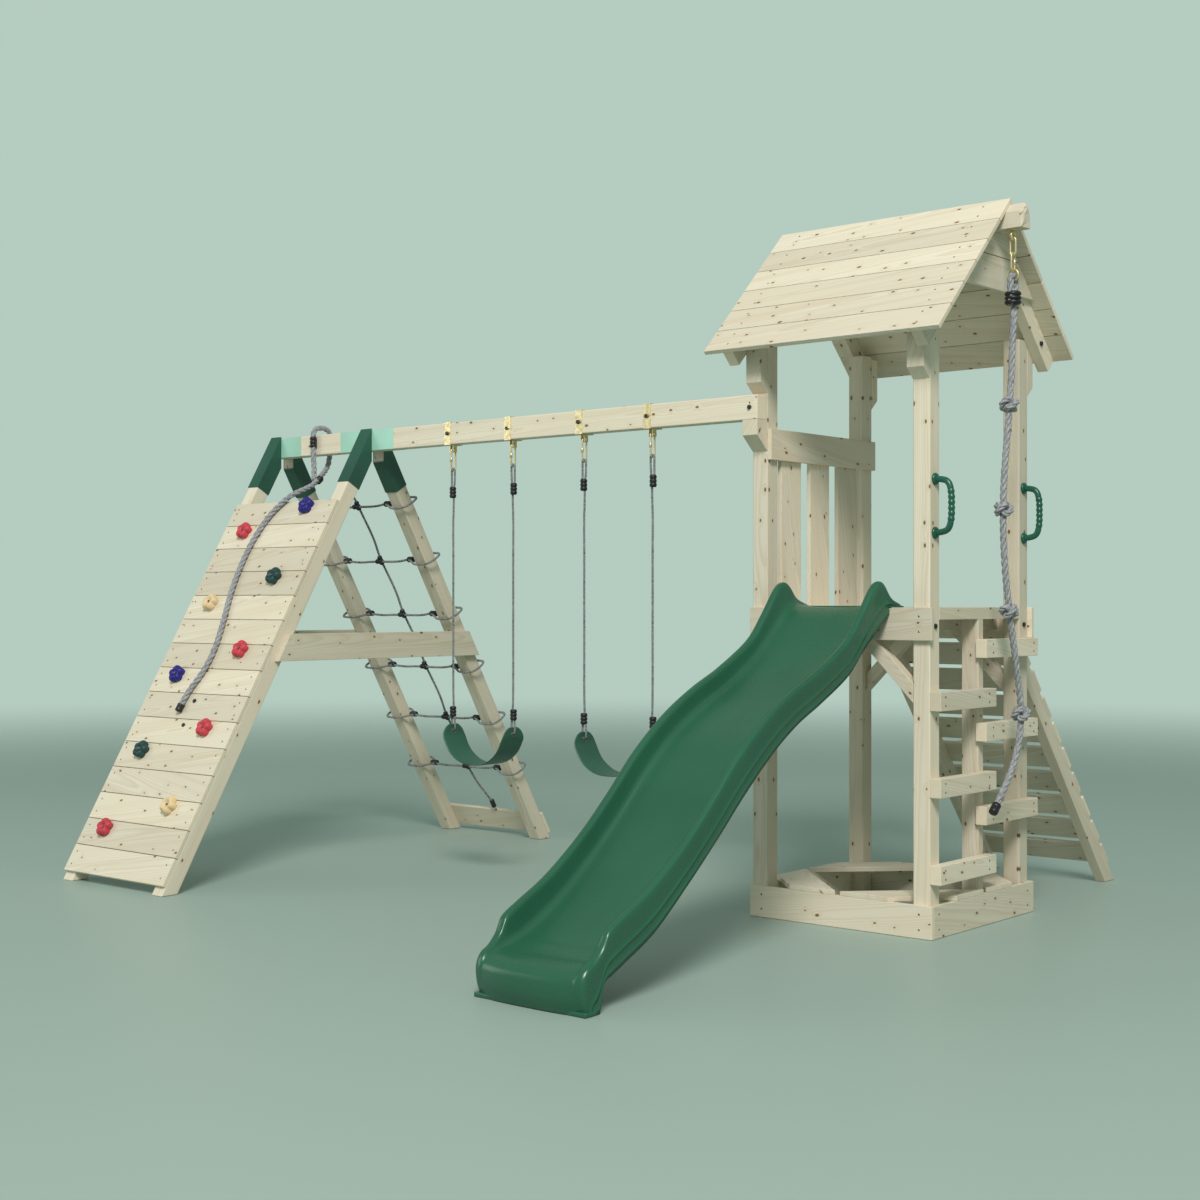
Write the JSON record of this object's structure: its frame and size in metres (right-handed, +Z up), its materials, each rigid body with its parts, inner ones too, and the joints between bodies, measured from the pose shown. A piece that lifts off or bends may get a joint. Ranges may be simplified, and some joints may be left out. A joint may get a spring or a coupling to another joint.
{
  "type": "swing set with play tower",
  "caption": "Wooden play tower with gabled roof, wave slide, ladder, rope, belt swings on a long beam, climbing walls and a climbing net.",
  "frame": {"origin": "on the ground under the middle of the whole set", "axes": "+X along the swing beam towards the tower, +Y from the slide's foot to the rear, +Z up"},
  "size_m": [3.8507, 3.5153, 2.73],
  "materials": {
    "pine": "planed, unpainted",
    "slide_plastic": "gloss",
    "handle_plastic": "gloss",
    "seat_plastic": "satin",
    "green_steel": "powder coat",
    "gold_zinc": "yellow passivated steel",
    "black_plastic": "satin",
    "thin_rope": "braided",
    "thick_rope": "three strand",
    "hold_red": "satin",
    "hold_blue": "satin",
    "hold_green": "satin",
    "hold_cream": "satin"
  },
  "bodies": {
    "frame": {"post_front_left": "pine", "post_front_right": "pine", "post_rear_left": "pine", "post_rear_right": "pine", "sandbox_boards": "pine", "sandbox_seats": "pine", "platform_frame": "pine", "deck_boards": "pine", "ladder_post": "pine", "ladder_rungs": "pine", "knee_braces": "pine", "railing": "pine", "roof_boards_front": "pine", "roof_boards_rear": "pine", "rafters": "pine", "gable_boards": "pine", "ridge_beam": "pine", "head_blocks": "pine", "rear_wall_stringers": "pine", "rear_wall_boards": "pine", "swing_beam": "pine", "leg_front_near": "pine", "leg_front_far": "pine", "leg_rear_near": "pine", "leg_rear_far": "pine", "cross_beams": "pine", "foot_rail": "pine", "wall_boards": "pine", "grab_handles": "handle_plastic", "slide": "slide_plastic", "apex_bracket_near": "green_steel", "apex_bracket_far": "green_steel", "holds_red": "hold_red", "holds_blue": "hold_blue", "holds_green": "hold_green", "holds_cream": "hold_cream", "wall_rope": "thick_rope", "wall_rope_clamps": "black_plastic", "net_clamps": "black_plastic", "net_cross_ropes": "thin_rope", "net_centre_rope": "thin_rope", "swing_hangers": "gold_zinc", "bolts": "black_plastic", "rope_eye": "gold_zinc"},
    "swing_1": {"swing_1_seat": "seat_plastic", "swing_1_rope_left": "thin_rope", "swing_1_rope_right": "thin_rope", "swing_1_hooks": "gold_zinc", "swing_1_clamps": "black_plastic"},
    "swing_2": {"swing_2_seat": "seat_plastic", "swing_2_rope_left": "thin_rope", "swing_2_rope_right": "thin_rope", "swing_2_hooks": "gold_zinc", "swing_2_clamps": "black_plastic"},
    "link": {"rope_link": "gold_zinc"},
    "climbing_rope": {"rope_carabiner": "gold_zinc", "climbing_rope": "thick_rope", "climbing_rope_knots": "thick_rope", "climbing_rope_clamps": "black_plastic"}
  },
  "joints": [
    {"name": "swing_1", "type": "hinge", "parent": "frame", "child": "swing_1", "pos_m": [-0.486, -0.0295, 1.901], "axis": [1, 0, 0], "range_deg": [-60, 60]},
    {"name": "swing_2", "type": "hinge", "parent": "frame", "child": "swing_2", "pos_m": [0.288, -0.0295, 1.901], "axis": [1, 0, 0], "range_deg": [-60, 60]},
    {"name": "rope_link", "type": "hinge", "parent": "frame", "child": "link", "pos_m": [1.858, 0.3875, 2.57154], "axis": [0, 1, 0], "range_deg": [-30, 1.5]},
    {"name": "climbing_rope", "type": "hinge", "parent": "link", "child": "climbing_rope", "pos_m": [1.858, 0.3875, 2.51484], "axis": [1, 0, 0], "range_deg": [-20, 20]}
  ]
}
